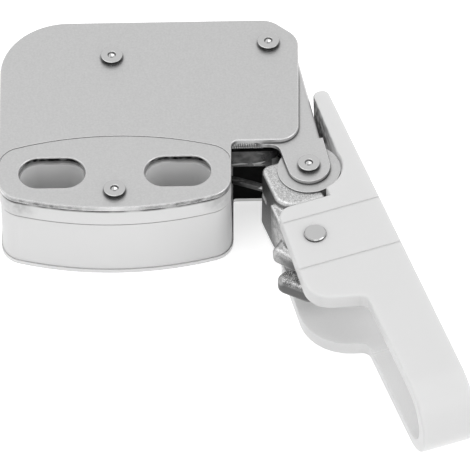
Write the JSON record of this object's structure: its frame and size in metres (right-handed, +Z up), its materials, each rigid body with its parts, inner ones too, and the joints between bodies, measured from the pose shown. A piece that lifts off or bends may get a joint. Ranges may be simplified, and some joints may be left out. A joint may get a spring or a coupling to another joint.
{
  "type": "push to open catch",
  "caption": "Riveted steel catch with a swinging cast claw and a white bumper loop that latches when pushed and springs open when pushed again.",
  "frame": {"origin": "middle of the two screw slots on the mounting face, the underside of the base plate", "axes": "+Z up through the housing, +X along the slots towards the claw, +Y towards the housing's rear"},
  "size_m": [0.0945, 0.1043, 0.0205],
  "materials": {
    "zinc_plated_steel": "bright zinc plated sheet, fine rolled grain",
    "rivet_steel": "bright formed rivet heads",
    "cast_zinc": "as cast, fine grain",
    "dark_steel": "dark oiled steel",
    "spring_steel": "drawn wire",
    "white_plastic": "moulded, slightly satin",
    "black_plastic": "moulded, matte"
  },
  "bodies": {
    "housing": {"top_plate": "zinc_plated_steel", "bottom_plate": "zinc_plated_steel", "mounting_block": "white_plastic", "inner_frame": "black_plastic", "rear_rivet": "rivet_steel", "front_rivet": "rivet_steel", "yoke_pivot": "rivet_steel", "pivot_sleeve": "dark_steel", "travel_stop_pin": "dark_steel", "guide_pin_left": "dark_steel", "guide_pin_right": "dark_steel", "pawl_post": "dark_steel"},
    "yoke": {"yoke": "zinc_plated_steel", "claw_pin": "rivet_steel", "upper_washer": "zinc_plated_steel", "lower_washer": "zinc_plated_steel"},
    "claw": {"claw_casting": "cast_zinc", "claw_bush": "dark_steel", "link_pin": "rivet_steel", "bumper_loop": "white_plastic", "bumper_rivet": "rivet_steel"},
    "slider": {"cam_slider": "dark_steel", "slider_pin": "dark_steel", "return_spring": "spring_steel"},
    "link": {"control_link": "dark_steel"},
    "pawl": {"latch_pawl": "dark_steel", "pawl_follower": "dark_steel"}
  },
  "joints": [
    {"name": "yoke_swing", "type": "hinge", "parent": "housing", "child": "yoke", "pos_m": [0.0306, 0.0341, 0.00975], "axis": [0, 0, 1], "range_deg": [-9, 0], "stiffness_Nm_per_rad": 0.05, "springref_deg": 5.73},
    {"name": "claw_swing", "type": "hinge", "parent": "yoke", "child": "claw", "pos_m": [0.0386, 0.00178, 0.00975], "axis": [0, 0, 1], "range_deg": [-11, 0]},
    {"name": "slider_travel", "type": "slide", "parent": "housing", "child": "slider", "axis": [1, 0, 0], "range_m": [-0.00513, 0], "deforming": ["return_spring"]},
    {"name": "link_swing", "type": "hinge", "parent": "slider", "child": "link", "pos_m": [0.0033, 0.0126, 0.0108], "axis": [0, 0, 1], "range_deg": [0, 2.97]},
    {"name": "pawl_swing", "type": "hinge", "parent": "housing", "child": "pawl", "pos_m": [-0.0156, 0.018, 0.0145], "axis": [0, 0, 1], "range_deg": [-5.16, 0]}
  ],
  "couplings": [
    {"joint": "claw_swing", "follows": "yoke_swing", "ratio": 1.2222},
    {"joint": "slider_travel", "follows": "yoke_swing", "m_per_rad": 0.032682},
    {"joint": "link_swing", "follows": "yoke_swing", "ratio": -0.33029},
    {"joint": "pawl_swing", "follows": "yoke_swing", "ratio": 0.57373}
  ]
}
